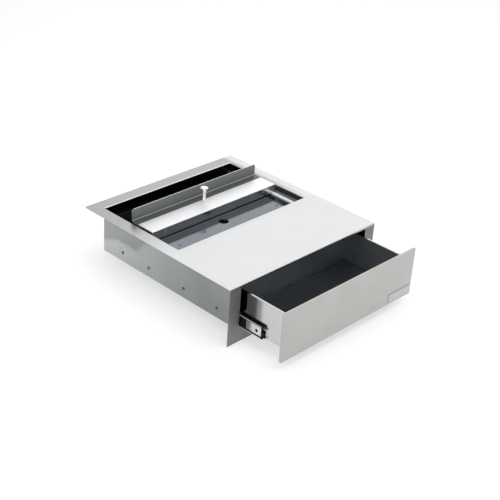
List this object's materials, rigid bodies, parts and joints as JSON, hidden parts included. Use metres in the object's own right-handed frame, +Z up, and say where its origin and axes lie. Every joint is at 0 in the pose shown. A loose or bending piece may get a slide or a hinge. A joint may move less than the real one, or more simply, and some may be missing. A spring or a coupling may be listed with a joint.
{
  "type": "security tag detacher",
  "caption": "Drop-in steel counter unit with a magnetic tag nest in a top well, a sliding cover with a pull knob, a rear bin and a front drawer on ball-bearing slides.",
  "frame": {"origin": "the counter's top front edge, at the middle of the unit's width: z = 0 is the counter top under the flange, y = 0 the counter's front face behind the face plate", "axes": "+X to the right, +Y towards the rear, +Z up"},
  "size_m": [0.4, 0.5227, 0.1483],
  "materials": {
    "steel_polished": "mirror-like stainless steel with faint grain",
    "steel_satin": "satin stainless steel, fine grain",
    "white_glide": "smooth white slide plastic",
    "black_plastic": "fine-textured black plastic",
    "rubber_black": "matt black rubber",
    "zinc_plated": "bright zinc-plated steel",
    "yellow_zinc": "yellow-passivated steel",
    "nest_alloy": "turned, dulled",
    "magnet_grey": "nickel-grey magnet",
    "knob_chrome": "polished metal",
    "badge_metal": "plain framed plate with no lettering"
  },
  "bodies": {
    "casing": {"cover_plate": "steel_polished", "face_plate": "steel_satin", "left_wall": "steel_satin", "right_wall": "steel_satin", "rear_wall": "steel_satin", "rear_flange": "steel_satin", "floor_pan": "steel_satin", "bulkhead": "steel_satin", "shelf": "steel_polished", "left_ledge": "steel_satin", "right_ledge": "steel_satin", "left_runner": "white_glide", "right_runner": "white_glide", "shelf_rivets": "zinc_plated", "left_wall_screws": "zinc_plated", "right_wall_screws": "zinc_plated", "left_bin_guide": "steel_satin", "right_bin_guide": "steel_satin", "tag_bin": "black_plastic", "detacher_nest": "nest_alloy", "magnet_ring": "magnet_grey", "magnet_cup": "zinc_plated", "cup_studs": "zinc_plated", "cup_nuts": "zinc_plated", "left_cabinet_rail": "zinc_plated", "right_cabinet_rail": "zinc_plated"},
    "carriage": {"carriage": "steel_polished", "left_end_bracket": "steel_satin", "right_end_bracket": "steel_satin", "glides": "white_glide", "skirt_stiffener": "steel_satin", "skirt_rivets": "zinc_plated", "knob": "knob_chrome", "knob_screw": "zinc_plated"},
    "drawer": {"drawer_box": "steel_satin", "drawer_front": "steel_satin", "drawer_mat": "rubber_black", "badge": "badge_metal", "panel_screws": "zinc_plated", "drawer_bumpers": "rubber_black", "left_drawer_rail": "zinc_plated", "right_drawer_rail": "zinc_plated", "left_rail_screws": "yellow_zinc", "right_rail_screws": "yellow_zinc"},
    "left_middle": {"left_middle_rail": "zinc_plated"},
    "right_middle": {"right_middle_rail": "zinc_plated"},
    "left_outer_balls": {"left_outer_cage": "zinc_plated"},
    "right_outer_balls": {"right_outer_cage": "zinc_plated"},
    "left_inner_balls": {"left_inner_cage": "zinc_plated"},
    "right_inner_balls": {"right_inner_cage": "zinc_plated"}
  },
  "joints": [
    {"name": "carriage_slide", "type": "slide", "parent": "casing", "child": "carriage", "axis": [0, 1, 0], "range_m": [-0.079, 0.072]},
    {"name": "drawer_slide", "type": "slide", "parent": "casing", "child": "drawer", "axis": [0, -1, 0], "range_m": [-0.1087, 0.0413]},
    {"name": "left_middle_slide", "type": "slide", "parent": "casing", "child": "left_middle", "axis": [0, -1, 0], "range_m": [-0.05435, 0.02065]},
    {"name": "left_outer_balls_slide", "type": "slide", "parent": "casing", "child": "left_outer_balls", "axis": [0, -1, 0], "range_m": [-0.02718, 0.01033]},
    {"name": "left_inner_balls_slide", "type": "slide", "parent": "casing", "child": "left_inner_balls", "axis": [0, -1, 0], "range_m": [-0.08153, 0.03097]},
    {"name": "right_middle_slide", "type": "slide", "parent": "casing", "child": "right_middle", "axis": [0, -1, 0], "range_m": [-0.05435, 0.02065]},
    {"name": "right_outer_balls_slide", "type": "slide", "parent": "casing", "child": "right_outer_balls", "axis": [0, -1, 0], "range_m": [-0.02718, 0.01033]},
    {"name": "right_inner_balls_slide", "type": "slide", "parent": "casing", "child": "right_inner_balls", "axis": [0, -1, 0], "range_m": [-0.08153, 0.03097]}
  ],
  "couplings": [
    {"joint": "left_middle_slide", "follows": "drawer_slide", "ratio": 0.5},
    {"joint": "left_outer_balls_slide", "follows": "drawer_slide", "ratio": 0.25},
    {"joint": "left_inner_balls_slide", "follows": "drawer_slide", "ratio": 0.75},
    {"joint": "right_middle_slide", "follows": "drawer_slide", "ratio": 0.5},
    {"joint": "right_outer_balls_slide", "follows": "drawer_slide", "ratio": 0.25},
    {"joint": "right_inner_balls_slide", "follows": "drawer_slide", "ratio": 0.75}
  ]
}
